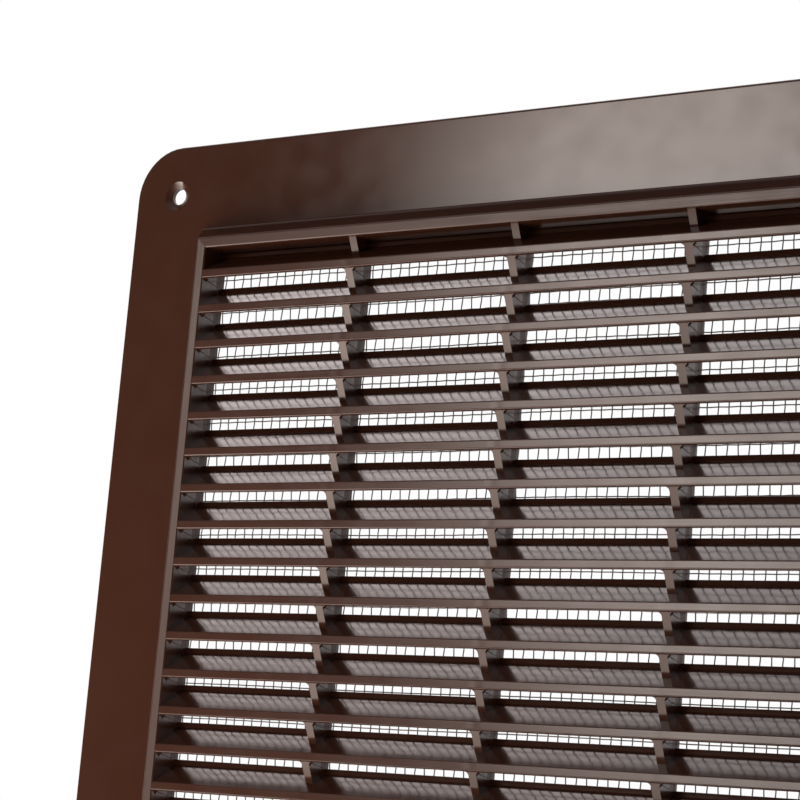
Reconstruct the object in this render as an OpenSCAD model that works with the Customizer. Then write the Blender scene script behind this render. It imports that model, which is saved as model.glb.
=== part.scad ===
// Square wall grille, moulded in dark brown plastic: a flat flange with a raised
// rim, fixed sloping louvres between upright dividers, and an insect mesh behind.
// The origin is the middle of the face that lies on the wall. The front faces -Y.

/* [Louvre field] */
// Height from one louvre to the next
louvre_pitch = 9.55; // [9:0.05:12]
// Width from one divider to the next
divider_pitch = 47.7; // [35:0.1:60]
// Thickness of a divider
divider_t = 2.1; // [1.2:0.1:3]
// Lean of a divider's front edge between two blades, in degrees off upright
edge_lean = 28; // [20:1:32]
// Radius of the fillets under a blade's foot, at the dividers and walls
fillet_r = 0.9; // [0.5:0.1:1.2]
// Thickness of the seat that carries the mesh behind the blades
seat_t = 0.4; // [0.3:0.1:1]
// How far the seat stands out from the dividers and walls
seat_w = 0.5; // [0.2:0.1:1]
// Depth in which the sides of a divider or wall flare out to the seat
seat_run = 2.3; // [1:0.1:3]

/* [Louvre blade] */
// Height of the upright band at a blade's front
band_h = 2.3; // [1.8:0.1:3]
// Thickness of the front band
band_t = 1.1; // [0.9:0.1:1.6]
// Slope of the web, in degrees above level
web_slope = 31.5; // [28:0.5:33]
// Thickness of the sloping web
web_t = 1.4; // [1:0.1:1.8]
// Height of a whole blade, from the foot of its band to the top of its rear lip
blade_h = 8.35; // [8:0.05:8.8]
// Thickness of the rear lip at its top
lip_t = 0.8; // [0.6:0.1:1.2]
// Draft on the lip's front face, in degrees
lip_draft = 6; // [0:0.5:8]
// Radius on the long front edges
band_r = 0.45; // [0.2:0.05:0.5]

/* [Flange and rim] */
// Width of the border, from the plate's edge to the opening
border = 31.25; // [28:0.25:45]
// Thickness of the flat flange
flange_t = 2.2; // [1.6:0.1:4]
// Radius of the plate's corners
corner_r = 13.75; // [8:0.25:18]
// Radius on the plate's front edge
edge_r = 0.8; // [0.3:0.1:1.4]
// How far the rim stands in front of the flange
rim_h = 7.8; // [7.5:0.1:9.5]
// Width of the rim's front face
rim_face = 2.65; // [2:0.05:4]
// Tilt of the rim's front face towards the opening, in degrees
rim_tilt = 5; // [0:0.5:8]
// Width that the rim's outer slope covers
rim_run = 4.7; // [3.5:0.1:6]
// Radius on the rim's outer front edge
rim_r = 0.7; // [0.2:0.1:1]
// Radius where the rim's slope meets the flange
foot_r = 0.8; // [0.2:0.1:2]
// Wall thickness of the rim
wall = 2; // [1.6:0.1:2.2]

/* [Screw holes] */
// Distance of a screw hole from the two edges of the plate
hole_inset = 13.75; // [10:0.25:16]
// Diameter of the clearance hole
hole_d = 4.5; // [3.5:0.1:5.5]
// Diameter of the countersink
sink_d = 8; // [6.5:0.1:10]
// Depth of the countersink
sink_depth = 1.1; // [0.5:0.1:1.4]

/* [Insect mesh] */
// Width from one upright strand to the next
warp_pitch = 2.77; // [2:0.005:4]
// Height from one level strand to the next
weft_pitch = 2.975; // [2:0.005:4]
// Diameter of a strand
strand_d = 0.32; // [0.2:0.02:0.4]
// How far the mesh laps the wall round the opening
mesh_lap = 1.6; // [0.8:0.1:1.6]
// How far the mesh lies inside the wall side of the plate
mesh_recess = 0.16; // [0.1:0.02:0.4]
// How far the strands are cut off centre, to the side and upwards
mesh_offset = [1.25, 0.65]; // [0:0.05:1.4]

/* [Hidden] */
rows = 20;
columns = 4;

plastic = [0.26, 0.15, 0.11];
fibre = [0.30, 0.28, 0.27];
arc_steps = 6;
// How far a cut runs past what it cuts, and how deep joined shapes reach in.
over = 1;
eps = 0.01;

// The opening is square. The first louvre's lip reaches its top, and the last
// louvre's band is buried in its bottom, so that the last web is a sloping sill.
open_h = (rows - 1) * louvre_pitch + blade_h - band_h;
open_w = open_h;
plate_w = open_w + 2 * border;
plate_h = open_h + 2 * border;

// Middle of divider n, counted from the left, and foot of blade k, from the top.
function divider_x(n) = (n - columns / 2) * divider_pitch;
function foot(k) = open_h / 2 - blade_h - (k - 1) * louvre_pitch;

// Depths run back from the front plane of the rim, so y = depth - total_depth.
total_depth = rim_h + flange_t;
mesh_depth = total_depth - mesh_recess - 2 * strand_d;
lip_back = mesh_depth - seat_t;
lip_front = lip_back - lip_t;

// Height of the web's upper and lower side at a depth, above the blade's foot.
slope = tan(web_slope);
web_drop = web_t / cos(web_slope);
function web_top(d) =
    band_h - band_r + band_r / cos(web_slope) + slope * (d - band_r);
function web_under(d) = web_top(d) - web_drop;

// Points of an arc about [x, y], from one angle to another.
function arc(x, y, r, from, to) = [
    for (i = [0 : arc_steps])
        let (a = from + (to - from) * i / arc_steps)
        [x + r * cos(a), y + r * sin(a)]
];

// Section of a blade, as [depth, height above its foot]: upright front band,
// sloping web, and a rear lip that holds the rain back. Its root fillet touches the
// web and the drafted face.
lip_r = 0.35 * lip_t;
root_r = 0.6;
draft = tan(lip_draft);
root_drop = blade_h - lip_r - web_top(0) - root_r / cos(web_slope);
root_x = (lip_front - root_r / cos(lip_draft) - draft * root_drop) / (1 - draft * slope);
root_y = web_top(root_x) + root_r / cos(web_slope);
blade_section = concat(
    arc(band_r, band_r, band_r, 270, 180),
    arc(band_r, band_h - band_r, band_r, 180, 90 + web_slope),
    arc(root_x, root_y, root_r, 270 + web_slope, 360 - lip_draft),
    arc(lip_front + lip_r / cos(lip_draft), blade_h - lip_r, lip_r, 180 - lip_draft, 90),
    arc(lip_back - lip_r, blade_h - lip_r, lip_r, 90, 0),
    [[lip_back, web_under(lip_back)], [band_t, web_under(band_t)], [band_t, 0]]
);

// A divider between two blades. Its front edge leaves the foot of the upper blade
// and leans back to the web of the lower one. The outline reaches a little into
// both blades, which are then cut out of it.
bury = 0.4;
lean = tan(edge_lean);
edge_drop = (louvre_pitch - web_top(band_t)) / (1 + slope * lean);
lip_mid = lip_back - lip_t / 2;
cell_section = [
    [band_t, 0],
    [band_t + lean * (edge_drop + bury), -edge_drop - bury],
    [lip_mid, web_top(lip_mid) - louvre_pitch - bury],
    [lip_back, web_top(lip_mid) - louvre_pitch - bury],
    [lip_back, web_under(lip_back) + bury],
    [band_t - bury, web_under(band_t - bury) + bury],
    [band_t - bury, bury]
];

// Runs a section drawn as [depth, height] along X.
module along_x(length) {
    translate([-length / 2, -total_depth, 0])
        rotate([90, 0, 90])
            linear_extrude(length) children();
}

// One side of a frame, its section drawn as [depth, distance outwards from the
// opening], with its ends cut at 45 degrees.
module mitred_side(opening_length, opening_across, reach) {
    long = opening_length / 2 + reach;
    far = opening_across / 2 + reach;
    inside = reach + over;
    intersection() {
        along_x(2 * long) translate([0, opening_across / 2]) children();
        translate([0, 2 * over, 0])
            rotate([90, 0, 0])
                linear_extrude(total_depth + 4 * over)
                    polygon([
                        [-long, far], [-long + inside, far - inside],
                        [long - inside, far - inside], [long, far]
                    ]);
    }
}

// Four mitred sides round the opening.
module mitred_frame(reach) {
    for (turn = [0, 180])
        rotate([0, turn, 0]) mitred_side(open_w, open_h, reach) children();
    for (turn = [90, 270])
        rotate([0, turn, 0]) mitred_side(open_h, open_w, reach) children();
}

// Flat flange with round corners and a round front edge.
module flange_strip(length, across) {
    along_x(length)
        polygon(concat(
            [[total_depth, -across / 2]],
            arc(rim_h + edge_r, edge_r - across / 2, edge_r, 270, 180),
            arc(rim_h + edge_r, across / 2 - edge_r, edge_r, 180, 90),
            [[total_depth, across / 2]]
        ));
}

module flange_corner() {
    rotate([90, 0, 0])
        rotate_extrude($fn = 96)
            polygon(concat(
                [[0, 0], [corner_r, 0]],
                arc(corner_r - edge_r, flange_t - edge_r, edge_r, 0, 90),
                [[0, flange_t]]
            ));
}

module flange() {
    core_w = plate_w - 2 * corner_r;
    core_h = plate_h - 2 * corner_r;
    flange_strip(core_w, plate_h);
    rotate([0, 90, 0]) flange_strip(core_h, plate_w);
    for (x = [-1, 1], z = [-1, 1])
        translate([x * core_w / 2, 0, z * core_h / 2]) flange_corner();
}

// Raised rim: upright inner wall, narrow front face that falls towards the opening,
// long outer slope.
slope_angle = atan(rim_h / rim_run);
rim_foot = rim_face + rim_run;
foot_end = rim_foot + foot_r * tan(slope_angle / 2);
inner_bevel = 0.25;
face_end = rim_face - rim_r * tan(slope_angle / 2);
face_drop = rim_r * (1 - cos(rim_tilt))
    + (face_end - rim_r * sin(rim_tilt) - inner_bevel) * tan(rim_tilt);
module rim_section() {
    polygon(concat(
        [[total_depth, 0], [face_drop + inner_bevel, 0], [face_drop, inner_bevel]],
        arc(rim_r, face_end, rim_r, 180 + rim_tilt, 180 - slope_angle),
        arc(rim_h - foot_r, foot_end, foot_r, -slope_angle, 0),
        [[total_depth, foot_end]]
    ));
}

// Groove that keeps the rim's walls thin, open to the wall side.
groove_tip = 0.8;
groove_back = rim_face + total_depth * rim_run / rim_h - wall / sin(slope_angle);
groove_front = total_depth - (groove_back - wall - groove_tip) * rim_h / rim_run;
module groove_section() {
    polygon([
        [total_depth + over, wall], [groove_front, wall],
        [groove_front, wall + groove_tip],
        [total_depth, groove_back], [total_depth + over, groove_back]
    ]);
}

module screw_hole() {
    rotate([90, 0, 0]) {
        translate([0, 0, -over])
            cylinder(h = flange_t + 2 * over, d = hole_d, $fn = 64);
        translate([0, 0, flange_t - sink_depth])
            cylinder(h = sink_depth, d1 = hole_d, d2 = sink_d, $fn = 64);
        translate([0, 0, flange_t - eps]) cylinder(h = over, d = sink_d, $fn = 64);
    }
}

// Outline of the opening, raised at its top, as [depth, height].
module opening_section(raised) {
    translate([0, -open_h / 2]) square([mesh_depth, open_h + raised]);
}

// A divider's cells from blade number first down to the sill, with the blades and
// what lies outside the opening cut away.
module cells_section(first, last, raised) {
    difference() {
        intersection() {
            for (k = [first : last]) translate([0, foot(k)]) polygon(cell_section);
            opening_section(raised);
        }
        for (k = [1 : rows]) translate([0, foot(k)]) polygon(blade_section);
    }
}

// Fillets under the blades' feet, on both sides of a divider or wall that has the
// given half thickness. They end behind the front bands.
fillet_back = 2 * band_t;
module foot_fillets(half, first, last) {
    intersection() {
        along_x(2 * (half + fillet_r))
            intersection() {
                cells_section(first, last, 0);
                translate([0, -open_h / 2]) square([fillet_back, open_h]);
            }
        rotate([90, 0, 0])
            linear_extrude(total_depth)
                for (k = [first : last])
                    translate([0, foot(k)])
                        polygon(concat(
                            arc(half + fillet_r, -fillet_r, fillet_r, 180, 90),
                            [[half + fillet_r, band_h], [-half - fillet_r, band_h]],
                            arc(-half - fillet_r, -fillet_r, fillet_r, 90, 0)
                        ));
    }
}

// Sides that flare out to the mesh seat, on a divider or wall of the given half
// thickness.
module seat_flare(half, first, last) {
    intersection() {
        along_x(2 * (half + seat_w)) cells_section(first, last, 0);
        translate([0, -total_depth, -open_h / 2])
            linear_extrude(open_h)
                polygon([
                    [-half, lip_back - seat_run], [half, lip_back - seat_run],
                    [half + seat_w, lip_back], [-half - seat_w, lip_back]
                ]);
    }
}

module face_frame() {
    color(plastic) {
        difference() {
            union() {
                flange();
                mitred_frame(foot_end) rim_section();
            }
            translate([-open_w / 2, -total_depth - over, -open_h / 2])
                cube([open_w, over + lip_back, open_h]);
            translate([seat_w - open_w / 2, -total_depth, seat_w - open_h / 2])
                cube([open_w - 2 * seat_w, total_depth + over, open_h - 2 * seat_w]);
            translate([-open_w / 2 - wall, mesh_depth - total_depth, -open_h / 2 - wall])
                cube([open_w + 2 * wall, total_depth, open_h + 2 * wall]);
            mitred_frame(groove_back) groove_section();
            for (x = [-1, 1], z = [-1, 1])
                translate([x * (plate_w / 2 - hole_inset), 0, z * (plate_h / 2 - hole_inset)])
                    screw_hole();
        }
        intersection() {
            for (side = [-1, 1])
                translate([side * (open_w + wall) / 2, 0, 0]) {
                    foot_fillets(wall / 2, 1, rows - 1);
                    seat_flare(wall / 2, 1, rows - 1);
                }
            translate([-(open_w + wall) / 2, -total_depth, -open_h / 2])
                cube([open_w + wall, total_depth, open_h]);
        }
        // Short ends of the dividers above the first louvre, joined to the top wall.
        for (n = [1 : columns - 1])
            translate([divider_x(n), 0, 0])
                along_x(divider_t) cells_section(0, 0, wall / 2);
    }
}

// Blade number n, counted from the top.
module louvre_blade(n) {
    color(plastic)
        along_x(open_w)
            intersection() {
                translate([0, foot(n)]) polygon(blade_section);
                opening_section(0);
            }
}

// Divider number n, counted from the left: a comb whose slots hold the blades.
module divider_rib(n) {
    color(plastic)
        translate([divider_x(n), 0, 0]) {
            along_x(divider_t) cells_section(1, rows, 0);
            foot_fillets(divider_t / 2, 1, rows - 1);
            seat_flare(divider_t / 2, 1, rows - 1);
            along_x(divider_t + 2 * seat_w)
                translate([lip_back, seat_w - open_h / 2])
                    square([seat_t, open_h - 2 * seat_w]);
        }
}

// Strands of the mesh, laid out from the middle and cut to the lapped size.
mesh_w = open_w + 2 * mesh_lap;
mesh_h = open_h + 2 * mesh_lap;
function strand_places(pitch, width, shift) = [
    for (i = [-ceil(width / 2 / pitch) : ceil(width / 2 / pitch)])
        if (abs(i * pitch + shift) < (width - strand_d) / 2) i * pitch + shift
];

// Upright strands lie against the dividers and the wall round the opening.
module mesh_warp_strands() {
    color(fibre)
        for (x = strand_places(warp_pitch, mesh_w, mesh_offset[0]))
            translate([x, mesh_depth + strand_d / 2 - total_depth, -mesh_h / 2])
                cylinder(h = mesh_h, d = strand_d, $fn = 16);
}

// Level strands lie behind the upright ones.
module mesh_weft_strands() {
    color(fibre)
        for (z = strand_places(weft_pitch, mesh_h, mesh_offset[1]))
            translate([-mesh_w / 2, mesh_depth + strand_d * 3 / 2 - total_depth, z])
                rotate([0, 90, 0])
                    cylinder(h = mesh_w, d = strand_d, $fn = 16);
}

face_frame();
louvre_blade(1);  // louvre_blade_01
louvre_blade(2);  // louvre_blade_02
louvre_blade(3);  // louvre_blade_03
louvre_blade(4);  // louvre_blade_04
louvre_blade(5);  // louvre_blade_05
louvre_blade(6);  // louvre_blade_06
louvre_blade(7);  // louvre_blade_07
louvre_blade(8);  // louvre_blade_08
louvre_blade(9);  // louvre_blade_09
louvre_blade(10);  // louvre_blade_10
louvre_blade(11);  // louvre_blade_11
louvre_blade(12);  // louvre_blade_12
louvre_blade(13);  // louvre_blade_13
louvre_blade(14);  // louvre_blade_14
louvre_blade(15);  // louvre_blade_15
louvre_blade(16);  // louvre_blade_16
louvre_blade(17);  // louvre_blade_17
louvre_blade(18);  // louvre_blade_18
louvre_blade(19);  // louvre_blade_19
louvre_blade(20);  // louvre_blade_20
divider_rib(1);  // divider_rib_1
divider_rib(2);  // divider_rib_2
divider_rib(3);  // divider_rib_3
mesh_warp_strands();
mesh_weft_strands();
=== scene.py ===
import bpy
import bmesh
import math
from mathutils import Matrix, Vector


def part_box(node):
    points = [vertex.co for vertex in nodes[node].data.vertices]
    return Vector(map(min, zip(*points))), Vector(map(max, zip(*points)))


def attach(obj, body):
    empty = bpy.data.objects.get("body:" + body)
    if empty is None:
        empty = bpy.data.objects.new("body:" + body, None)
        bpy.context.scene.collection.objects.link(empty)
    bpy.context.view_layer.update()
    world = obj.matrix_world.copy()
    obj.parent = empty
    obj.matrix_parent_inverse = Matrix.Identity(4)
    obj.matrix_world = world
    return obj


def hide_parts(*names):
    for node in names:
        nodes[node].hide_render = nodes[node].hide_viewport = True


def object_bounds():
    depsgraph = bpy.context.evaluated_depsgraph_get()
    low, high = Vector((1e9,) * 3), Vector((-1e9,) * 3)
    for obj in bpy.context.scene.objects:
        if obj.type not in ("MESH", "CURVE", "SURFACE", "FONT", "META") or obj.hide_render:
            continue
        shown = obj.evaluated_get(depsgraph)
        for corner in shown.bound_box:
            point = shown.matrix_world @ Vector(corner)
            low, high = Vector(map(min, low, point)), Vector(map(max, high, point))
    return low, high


# A brown louvred wall grille, stood up on its lower edge. The front faces -Y.
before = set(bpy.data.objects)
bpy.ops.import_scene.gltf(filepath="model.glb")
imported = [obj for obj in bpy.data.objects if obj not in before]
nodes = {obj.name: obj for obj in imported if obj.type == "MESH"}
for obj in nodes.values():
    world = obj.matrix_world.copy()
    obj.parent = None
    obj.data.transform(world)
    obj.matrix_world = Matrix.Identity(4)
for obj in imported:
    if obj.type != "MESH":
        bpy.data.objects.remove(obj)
cadLow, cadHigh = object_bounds()
scene = bpy.context.scene
mm = 0.001


def toLinear(code):
    parts = [int(code[i:i + 2], 16) / 255 for i in (1, 3, 5)]
    return [c / 12.92 if c <= 0.04045 else ((c + 0.055) / 1.055) ** 2.4 for c in parts] + [1]


def addNode(tree, kind, inputs=None, **settings):
    node = tree.nodes.new(kind)
    for name, value in settings.items():
        setattr(node, name, value)
    for name, value in (inputs or {}).items():
        if isinstance(value, bpy.types.NodeSocket):
            tree.links.new(value, node.inputs[name])
        else:
            node.inputs[name].default_value = value
    return node


def newMaterial(name):
    material = bpy.data.materials.new(name)
    material.use_nodes = True
    tree = material.node_tree
    return material, tree, tree.nodes["Principled BSDF"]


# Materials

# Dark brown ABS, injection moulded in a polished tool. The eye gets an even, deep brown
# under a clear gloss, flat faces that waver a little, and fine grinding lines that run
# along the louvres' bands and the rim's face. Faces that look sideways, which slide in the
# mould, are duller, and so are the back and the louvres' rear lips, which lean back a
# little more than their solids do.
mouldedAbs = {
    "colour": "#391F15", "cloudy": "#3F2519", "ior": 1.54, "roughness": (0.12, 0.17),
    "cloudSize": 30 * mm, "glossSize": 8 * mm, "grainSize": 0.3 * mm, "grainDepth": 0.0004 * mm,
    "waveSize": 26 * mm, "waveDepth": 0.04 * mm,
    "lineLength": 40 * mm, "lineWidth": 0.22 * mm, "lineDepth": 0.0015 * mm, "lineRoughness": 0.12,
    "glossRange": (0.3, 0.7), "faceDepth": (0.6 * mm, 0.2 * mm),
    "sideFacing": (0.8, 0.95), "sideRoughness": 0.1,
    "backDepth": (7.8 * mm, 8.6 * mm), "backRoughness": 0.2,
    "lipFacing": (-0.9, -0.98), "lipLean": 0.07,
}
# The frame's lines turn with its sides. The louvres sink a little in front of each divider.
frameAbs = dict(mouldedAbs, turning=1.0, sinkDepth=0, lineRoughness=0.4)
louvreAbs = dict(mouldedAbs, turning=0.0,
                 sinkDepth=0.015 * mm, sinkPitch=47.7 * mm, sinkWidth=2.2 * mm)


def makeMouldedAbs(name, look):
    material, tree, shader = newMaterial(name)
    place = addNode(tree, "ShaderNodeTexCoord").outputs["Object"]
    parts = addNode(tree, "ShaderNodeSeparateXYZ", {"Vector": place})
    clouds = addNode(tree, "ShaderNodeTexNoise",
                     {"Vector": place, "Scale": 1 / look["cloudSize"], "Detail": 2.0})
    base = addNode(tree, "ShaderNodeMix", {
        "Factor": clouds.outputs["Fac"],
        "A": toLinear(look["colour"]), "B": toLinear(look["cloudy"])}, data_type="RGBA")

    long, fine = 1 / look["lineLength"], 1 / look["lineWidth"]
    level = addNode(tree, "ShaderNodeVectorMath",
                    {0: place, 1: (long, 0, fine)}, operation="MULTIPLY")
    upright = addNode(tree, "ShaderNodeVectorMath",
                      {0: place, 1: (fine, 0, long)}, operation="MULTIPLY")
    aside = addNode(tree, "ShaderNodeMath", {0: parts.outputs["X"]}, operation="ABSOLUTE")
    above = addNode(tree, "ShaderNodeMath", {0: parts.outputs["Z"]}, operation="ABSOLUTE")
    onSide = addNode(tree, "ShaderNodeMath",
                     {0: aside.outputs[0], 1: above.outputs[0]}, operation="GREATER_THAN")
    turned = addNode(tree, "ShaderNodeMath",
                     {0: onSide.outputs[0], 1: look["turning"]}, operation="MULTIPLY")
    way = addNode(tree, "ShaderNodeMix", data_type="VECTOR")
    tree.links.new(turned.outputs[0], way.inputs[0])
    tree.links.new(level.outputs[0], way.inputs[4])
    tree.links.new(upright.outputs[0], way.inputs[5])
    lines = addNode(tree, "ShaderNodeTexNoise",
                    {"Vector": way.outputs[1], "Scale": 1.0, "Detail": 3.0})
    onFace = addNode(tree, "ShaderNodeMapRange", {
        "Value": parts.outputs["Y"],
        "From Min": cadLow.y + look["faceDepth"][0], "From Max": cadLow.y + look["faceDepth"][1]})
    scored = addNode(tree, "ShaderNodeMath",
                     {0: lines.outputs["Fac"], 1: onFace.outputs["Result"]}, operation="MULTIPLY")

    gloss = addNode(tree, "ShaderNodeTexNoise",
                    {"Vector": place, "Scale": 1 / look["glossSize"], "Detail": 3.0})
    smooth = addNode(tree, "ShaderNodeMapRange", {
        "Value": gloss.outputs["Fac"],
        "From Min": look["glossRange"][0], "From Max": look["glossRange"][1],
        "To Min": look["roughness"][0], "To Max": look["roughness"][1]})
    facing = addNode(tree, "ShaderNodeSeparateXYZ",
                     {"Vector": addNode(tree, "ShaderNodeTexCoord").outputs["Normal"]})
    sideways = addNode(tree, "ShaderNodeMath", {0: facing.outputs["X"]}, operation="ABSOLUTE")
    onSlide = addNode(tree, "ShaderNodeMapRange", {
        "Value": sideways.outputs[0],
        "From Min": look["sideFacing"][0], "From Max": look["sideFacing"][1],
        "To Max": look["sideRoughness"]})
    atBack = addNode(tree, "ShaderNodeMapRange", {
        "Value": parts.outputs["Y"],
        "From Min": cadLow.y + look["backDepth"][0], "From Max": cadLow.y + look["backDepth"][1],
        "To Max": look["backRoughness"]})
    duller = addNode(tree, "ShaderNodeMath",
                     {0: atBack.outputs["Result"], 1: onSlide.outputs["Result"]},
                     operation="MAXIMUM")
    dull = addNode(tree, "ShaderNodeMath", {0: smooth.outputs["Result"], 1: duller.outputs[0]})
    rough = addNode(tree, "ShaderNodeMath",
                    {0: scored.outputs[0], 1: look["lineRoughness"], 2: dull.outputs[0]},
                    operation="MULTIPLY_ADD")

    waves = addNode(tree, "ShaderNodeTexNoise",
                    {"Vector": place, "Scale": 1 / look["waveSize"], "Detail": 1.0})
    bumped = addNode(tree, "ShaderNodeBump", {
        "Height": waves.outputs["Fac"], "Strength": 1.0, "Distance": look["waveDepth"]})
    # The lips are the deep faces that look ahead. A steady slope tilts their shading back.
    ahead = addNode(tree, "ShaderNodeMapRange", {
        "Value": facing.outputs["Y"],
        "From Min": look["lipFacing"][0], "From Max": look["lipFacing"][1]})
    deep = addNode(tree, "ShaderNodeMath",
                   {0: atBack.outputs["Result"], 1: 0.0}, operation="GREATER_THAN")
    onLip = addNode(tree, "ShaderNodeMath",
                    {0: ahead.outputs["Result"], 1: deep.outputs[0]}, operation="MULTIPLY")
    leaning = addNode(tree, "ShaderNodeMath",
                      {0: parts.outputs["Z"], 1: -look["lipLean"]}, operation="MULTIPLY")
    bumped = addNode(tree, "ShaderNodeBump", {
        "Height": leaning.outputs[0], "Strength": onLip.outputs[0], "Distance": 1.0,
        "Normal": bumped.outputs["Normal"]})
    if look["sinkDepth"]:
        fromRib = addNode(tree, "ShaderNodeMath",
                          {0: parts.outputs["X"], 1: look["sinkPitch"] / 2}, operation="PINGPONG")
        sunk = addNode(tree, "ShaderNodeMapRange",
                       {"Value": fromRib.outputs[0], "From Max": look["sinkWidth"]},
                       interpolation_type="SMOOTHSTEP")
        bumped = addNode(tree, "ShaderNodeBump", {
            "Height": sunk.outputs["Result"], "Strength": 1.0, "Distance": look["sinkDepth"],
            "Normal": bumped.outputs["Normal"]})
    bumped = addNode(tree, "ShaderNodeBump", {
        "Height": scored.outputs[0], "Strength": 1.0, "Distance": look["lineDepth"],
        "Normal": bumped.outputs["Normal"]})
    grain = addNode(tree, "ShaderNodeTexNoise",
                    {"Vector": place, "Scale": 1 / look["grainSize"], "Detail": 2.0})
    bumped = addNode(tree, "ShaderNodeBump", {
        "Height": grain.outputs["Fac"], "Strength": 1.0, "Distance": look["grainDepth"],
        "Normal": bumped.outputs["Normal"]})
    tree.links.new(base.outputs["Result"], shader.inputs["Base Color"])
    tree.links.new(rough.outputs[0], shader.inputs["Roughness"])
    tree.links.new(bumped.outputs["Normal"], shader.inputs["Normal"])
    shader.inputs["IOR"].default_value = look["ior"]
    return material


# Glass yarn coated in grey PVC, woven and heat-set. The eye gets a dull grey thread,
# paler where the coat is thin, with a weak sheen along it.
coatedYarn = {
    "colour": "#6E6864", "pale": "#8A8480", "ior": 1.5, "roughness": 0.55,
    "patchSize": 1.6 * mm, "fuzzSize": 0.12 * mm, "fuzzDepth": 0.01 * mm,
}


def makeCoatedYarn(look):
    material, tree, shader = newMaterial("coatedYarn")
    place = addNode(tree, "ShaderNodeTexCoord").outputs["Object"]
    patches = addNode(tree, "ShaderNodeTexNoise",
                      {"Vector": place, "Scale": 1 / look["patchSize"], "Detail": 3.0})
    base = addNode(tree, "ShaderNodeMix", {
        "Factor": patches.outputs["Fac"],
        "A": toLinear(look["colour"]), "B": toLinear(look["pale"])}, data_type="RGBA")
    fuzz = addNode(tree, "ShaderNodeTexNoise",
                   {"Vector": place, "Scale": 1 / look["fuzzSize"], "Detail": 2.0})
    bumped = addNode(tree, "ShaderNodeBump", {
        "Height": fuzz.outputs["Fac"], "Strength": 1.0, "Distance": look["fuzzDepth"]})
    tree.links.new(base.outputs["Result"], shader.inputs["Base Color"])
    tree.links.new(bumped.outputs["Normal"], shader.inputs["Normal"])
    shader.inputs["Roughness"].default_value = look["roughness"]
    shader.inputs["IOR"].default_value = look["ior"]
    return material


frameMaterial = makeMouldedAbs("frameAbs", frameAbs)
louvreMaterial = makeMouldedAbs("louvreAbs", louvreAbs)
yarnMaterial = makeCoatedYarn(coatedYarn)
wanted = {"face": frameMaterial, "louvre": louvreMaterial,
          "divider": louvreMaterial, "mesh": yarnMaterial}
for name, node in nodes.items():
    for slot in node.material_slots:
        slot.material = wanted[name.split("_")[0]]
print("materials are on")


# Insect mesh, in a plain weave. Upright and level yarns pass over and under each other
# about one plane, and the whole cloth wanders a little sideways.
insectMesh = {
    "pitch": (2.77 * mm, 2.975 * mm), "shift": (1.25 * mm, 0.5 * mm),
    "thickness": 0.32 * mm, "middle": -0.48 * mm, "drift": 0.22 * mm,
    "shortDrift": 14 * mm, "longDrift": 31 * mm, "driftAcross": 60 * mm,
    "ringsPerCrossing": 3,
}


def yarnPlaces(low, high, pitch, shift):
    first = math.ceil((low - shift) / pitch)
    last = math.floor((high - shift) / pitch)
    return range(first, last + 1)


def sideDrift(along, across):
    short = math.sin(along / insectMesh["shortDrift"] + 0.6)
    long = math.sin(along / insectMesh["longDrift"] + across / insectMesh["driftAcross"])
    return insectMesh["drift"] * 0.6 * (short + 0.5 * long)


def weaveYarns(name, along, across, low, high):
    radius = insectMesh["thickness"] / 2
    crossPitch, pitch = insectMesh["pitch"][along // 2], insectMesh["pitch"][across // 2]
    crossShift, shift = insectMesh["shift"][along // 2], insectMesh["shift"][across // 2]
    curve = bpy.data.curves.new(name + "Curve", "CURVE")
    curve.dimensions = "3D"
    curve.bevel_depth = radius
    curve.bevel_resolution = 1
    curve.use_fill_caps = True
    step = crossPitch / insectMesh["ringsPerCrossing"]
    rings = int((high - low) / step) + 1
    side = 1 if along == 2 else -1
    for number in yarnPlaces(low + radius, high - radius, pitch, shift):
        middle = number * pitch + shift
        spline = curve.splines.new("POLY")
        spline.points.add(rings - 1)
        for ring, point in enumerate(spline.points):
            far = low + (high - low) * ring / (rings - 1)
            place = [0, 0, 0, 1]
            place[along] = far
            place[across] = middle + sideDrift(far, middle)
            wave = math.cos(math.pi * ((far - crossShift) / crossPitch + number + 1))
            place[1] = insectMesh["middle"] + side * radius * wave
            point.co = place
    woven = bpy.data.objects.new(name + "Curve", curve)
    scene.collection.objects.link(woven)
    graph = bpy.context.evaluated_depsgraph_get()
    solid = bpy.data.meshes.new_from_object(woven.evaluated_get(graph))
    bpy.data.objects.remove(woven)
    piece = bpy.data.objects.new(name, solid)
    scene.collection.objects.link(piece)
    solid.materials.clear()
    solid.materials.append(yarnMaterial)
    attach(piece, "root")
    return piece


weftLow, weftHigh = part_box("mesh_weft_strands")
warpLow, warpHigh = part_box("mesh_warp_strands")
warpYarns = weaveYarns("warp_yarns", 2, 0, warpLow.z, warpHigh.z)
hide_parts("mesh_warp_strands")
weftYarns = weaveYarns("weft_yarns", 0, 2, weftLow.x, weftHigh.x)
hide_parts("mesh_weft_strands")
print("mesh is woven:", len(warpYarns.data.polygons) + len(weftYarns.data.polygons), "faces")


# Shut-off lines. The two halves of the mould meet on the side faces of the dividers and
# walls, and leave a fine bead from the foot of each louvre's band down to the next lip.
shutOffLines = {
    "from": (1.1 * mm, 0.0), "to": (8.4 * mm, -1.2 * mm), "radius": 0.11 * mm,
    "pitch": 9.55 * mm, "firstFoot": 85.4 * mm, "count": 19,
    "dividers": (-47.7 * mm, 0.0, 47.7 * mm), "halfDivider": 1.05 * mm, "wall": 93.75 * mm,
}


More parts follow.
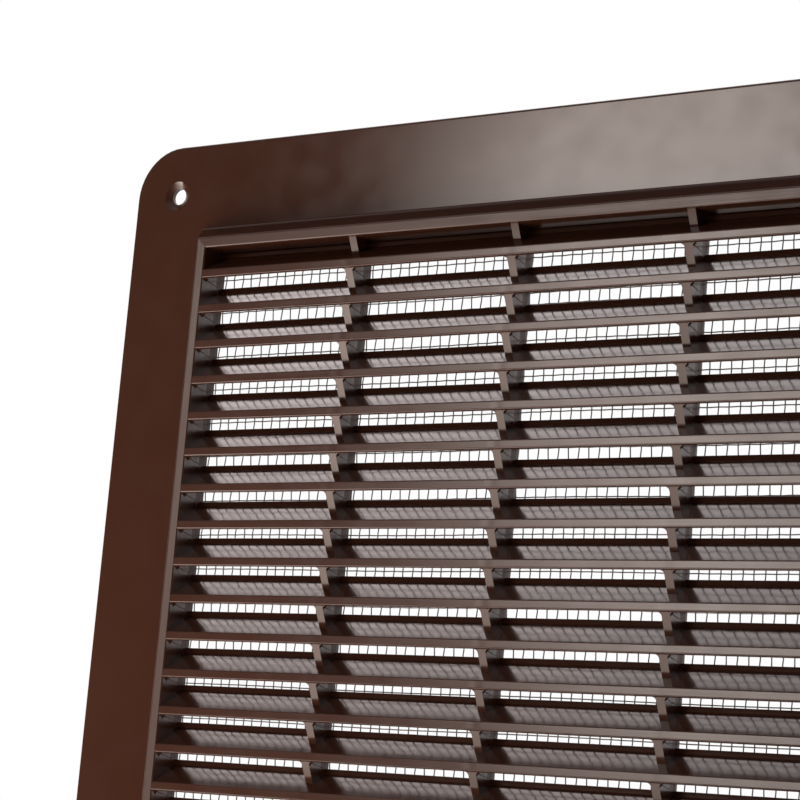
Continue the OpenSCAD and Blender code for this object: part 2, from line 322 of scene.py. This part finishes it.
def makeShutOffLines(name):
    look = shutOffLines
    faces = [-look["wall"], look["wall"]]
    for middle in look["dividers"]:
        faces += [middle - look["halfDivider"], middle + look["halfDivider"]]
    start, end = Vector((0, *look["from"])), Vector((0, *look["to"]))
    lean = (end - start).to_track_quat("Z", "Y").to_matrix().to_4x4()
    lines = bmesh.new()
    for x in faces:
        for row in range(look["count"]):
            foot = look["firstFoot"] - row * look["pitch"]
            middle = Vector((x, cadLow.y, foot)) + (start + end) / 2
            bmesh.ops.create_cone(lines, cap_ends=True, segments=8, depth=(end - start).length,
                                  radius1=look["radius"], radius2=look["radius"],
                                  matrix=Matrix.Translation(middle) @ lean)
    for face in lines.faces:
        face.smooth = len(face.verts) == 4
    mesh = bpy.data.meshes.new(name)
    lines.to_mesh(mesh)
    lines.free()
    piece = bpy.data.objects.new(name, mesh)
    scene.collection.objects.link(piece)
    mesh.materials.append(louvreMaterial)
    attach(piece, "root")


makeShutOffLines("shut_off_lines")
print("shut-off lines are drawn")


# Stage: a pale floor, a strip softbox at the front left, a low panel on the floor at the
# left whose light fades to the right, a white room behind, and a wide panel that lights it
# and the grille from behind, most at the left.
stage = {
    "floorColour": "#E2E9EA", "floorSize": 5.0, "floorRoughness": 0.8,
    "roomColour": "#FFEFED", "behind": 1.0, "ceiling": 0.45, "inFront": 0.06,
    "behindFrom": (-0.1, 0.3), "ceilingFrom": (0.5, 0.8),
}
softbox = {
    "place": (-0.68, -1.36, 0.265), "size": (0.52, 0.83), "turn": (90, -15, 0),
    "colour": "#FFF3EB", "radiance": 7.2, "fade": (0.05, 0.5), "faded": 0.0,
    "foot": (0.1, 0.4), "atFoot": 0.7,
}
lowPanel = {
    "place": (-0.315, -0.165, -0.12), "size": (0.67, 0.21), "turn": (180, 0, 0),
    "colour": "#FFEEE2", "radiance": 10.0, "fade": (0.95, 0.1), "faded": 0.25,
    "foot": (0.0, 1.0), "atFoot": 1.0,
}
backPanel = {
    "place": (-0.5, 1.0, 1.43), "size": (4.0, 3.1), "turn": (-90, 0, 0),
    "colour": "#FFE3DE", "radiance": 1.2, "fade": (0.5, 0.28), "faded": 0.33,
    "foot": (0.0, 1.0), "atFoot": 1.0,
}


def makeFloor():
    bpy.ops.mesh.primitive_plane_add(size=stage["floorSize"], location=(0, 0, cadLow.z))
    floor = bpy.context.object
    floor.name = "floor"
    material, tree, shader = newMaterial("paintedBoard")
    shader.inputs["Base Color"].default_value = toLinear(stage["floorColour"])
    shader.inputs["Roughness"].default_value = stage["floorRoughness"]
    floor.data.materials.append(material)
    floor.visible_glossy = False  # the room in front is dark, so the gloss shows no pale board


def makePanel(name, look):
    data = bpy.data.lights.new(name, "AREA")
    data.shape = "RECTANGLE"
    data.size, data.size_y = look["size"]
    data.color = toLinear(look["colour"])[:3]
    data.energy = look["radiance"] * math.pi * data.size * data.size_y
    data.use_nodes = True
    tree = data.node_tree
    across = addNode(tree, "ShaderNodeSeparateXYZ",
                     {"Vector": addNode(tree, "ShaderNodeNewGeometry").outputs["Parametric"]})
    wide = addNode(tree, "ShaderNodeMapRange", {
        "Value": across.outputs["X"], "From Min": look["fade"][0], "From Max": look["fade"][1],
        "To Min": look["faded"]}, interpolation_type="SMOOTHSTEP")
    high = addNode(tree, "ShaderNodeMapRange", {
        "Value": across.outputs["Y"], "From Min": look["foot"][0], "From Max": look["foot"][1],
        "To Min": look["atFoot"]}, interpolation_type="SMOOTHSTEP")
    level = addNode(tree, "ShaderNodeMath",
                    {0: wide.outputs["Result"], 1: high.outputs["Result"]}, operation="MULTIPLY")
    tree.links.new(level.outputs[0], tree.nodes["Emission"].inputs["Strength"])
    lamp = bpy.data.objects.new(name, data)
    lamp.location = look["place"]
    lamp.rotation_euler = [math.radians(turn) for turn in look["turn"]]
    lamp.visible_camera = False
    scene.collection.objects.link(lamp)


def makeWorld():
    world = bpy.data.worlds.new("studio")
    world.use_nodes = True
    scene.world = world
    tree = world.node_tree
    tree.nodes.clear()
    way = addNode(tree, "ShaderNodeTexCoord").outputs["Generated"]
    parts = addNode(tree, "ShaderNodeSeparateXYZ", {"Vector": way})
    behind = addNode(tree, "ShaderNodeMapRange", {
        "Value": parts.outputs["Y"],
        "From Min": stage["behindFrom"][0], "From Max": stage["behindFrom"][1]},
                     interpolation_type="SMOOTHSTEP")
    ceiling = addNode(tree, "ShaderNodeMapRange", {
        "Value": parts.outputs["Z"],
        "From Min": stage["ceilingFrom"][0], "From Max": stage["ceilingFrom"][1],
        "To Min": stage["inFront"], "To Max": stage["ceiling"]}, interpolation_type="SMOOTHSTEP")
    level = addNode(tree, "ShaderNodeMix", {
        "Factor": behind.outputs["Result"],
        "A": ceiling.outputs["Result"], "B": stage["behind"]})
    room = addNode(tree, "ShaderNodeBackground",
                   {"Color": toLinear(stage["roomColour"]), "Strength": level.outputs["Result"]})
    white = addNode(tree, "ShaderNodeBackground", {"Color": (1, 1, 1, 1), "Strength": 1.0})
    rays = addNode(tree, "ShaderNodeLightPath").outputs
    # The camera sees white all round. The gloss shows that background where it stands, behind.
    mirrored = addNode(tree, "ShaderNodeMath",
                       {0: rays["Is Glossy Ray"], 1: rays["Is Transmission Ray"]}, operation="MAXIMUM")
    mirrored = addNode(tree, "ShaderNodeMath",
                       {0: mirrored.outputs[0], 1: behind.outputs["Result"]}, operation="MULTIPLY")
    shown = addNode(tree, "ShaderNodeMath",
                    {0: rays["Is Camera Ray"], 1: mirrored.outputs[0]}, operation="MAXIMUM")
    seen = addNode(tree, "ShaderNodeMixShader", {0: shown.outputs[0]})
    tree.links.new(room.outputs[0], seen.inputs[1])
    tree.links.new(white.outputs[0], seen.inputs[2])
    addNode(tree, "ShaderNodeOutputWorld", {"Surface": seen.outputs[0]})


makeFloor()
makePanel("softbox", softbox)
makePanel("lowPanel", lowPanel)
makePanel("backPanel", backPanel)
makeWorld()
print("stage is lit")


# Camera, close to the right of the grille, a little below its middle and looking up
camera = {
    "place": (0.29657, -0.49528, -0.0569), "lens": 108.666,
    "turn": 33.767, "lookUp": 10.416, "roll": 4.751,
}


def makeCamera():
    data = bpy.data.cameras.new("camera")
    data.sensor_width = 36
    data.lens = camera["lens"]
    data.clip_start, data.clip_end = 0.01, 50
    lens = bpy.data.objects.new("camera", data)
    turned = (Matrix.Rotation(math.radians(camera["turn"]), 4, "Z")
              @ Matrix.Rotation(math.radians(90 + camera["lookUp"]), 4, "X")
              @ Matrix.Rotation(math.radians(camera["roll"]), 4, "Z"))
    lens.matrix_world = Matrix.Translation(Vector(camera["place"])) @ turned
    scene.collection.objects.link(lens)
    scene.camera = lens


makeCamera()
scene.view_settings.view_transform = "Standard"
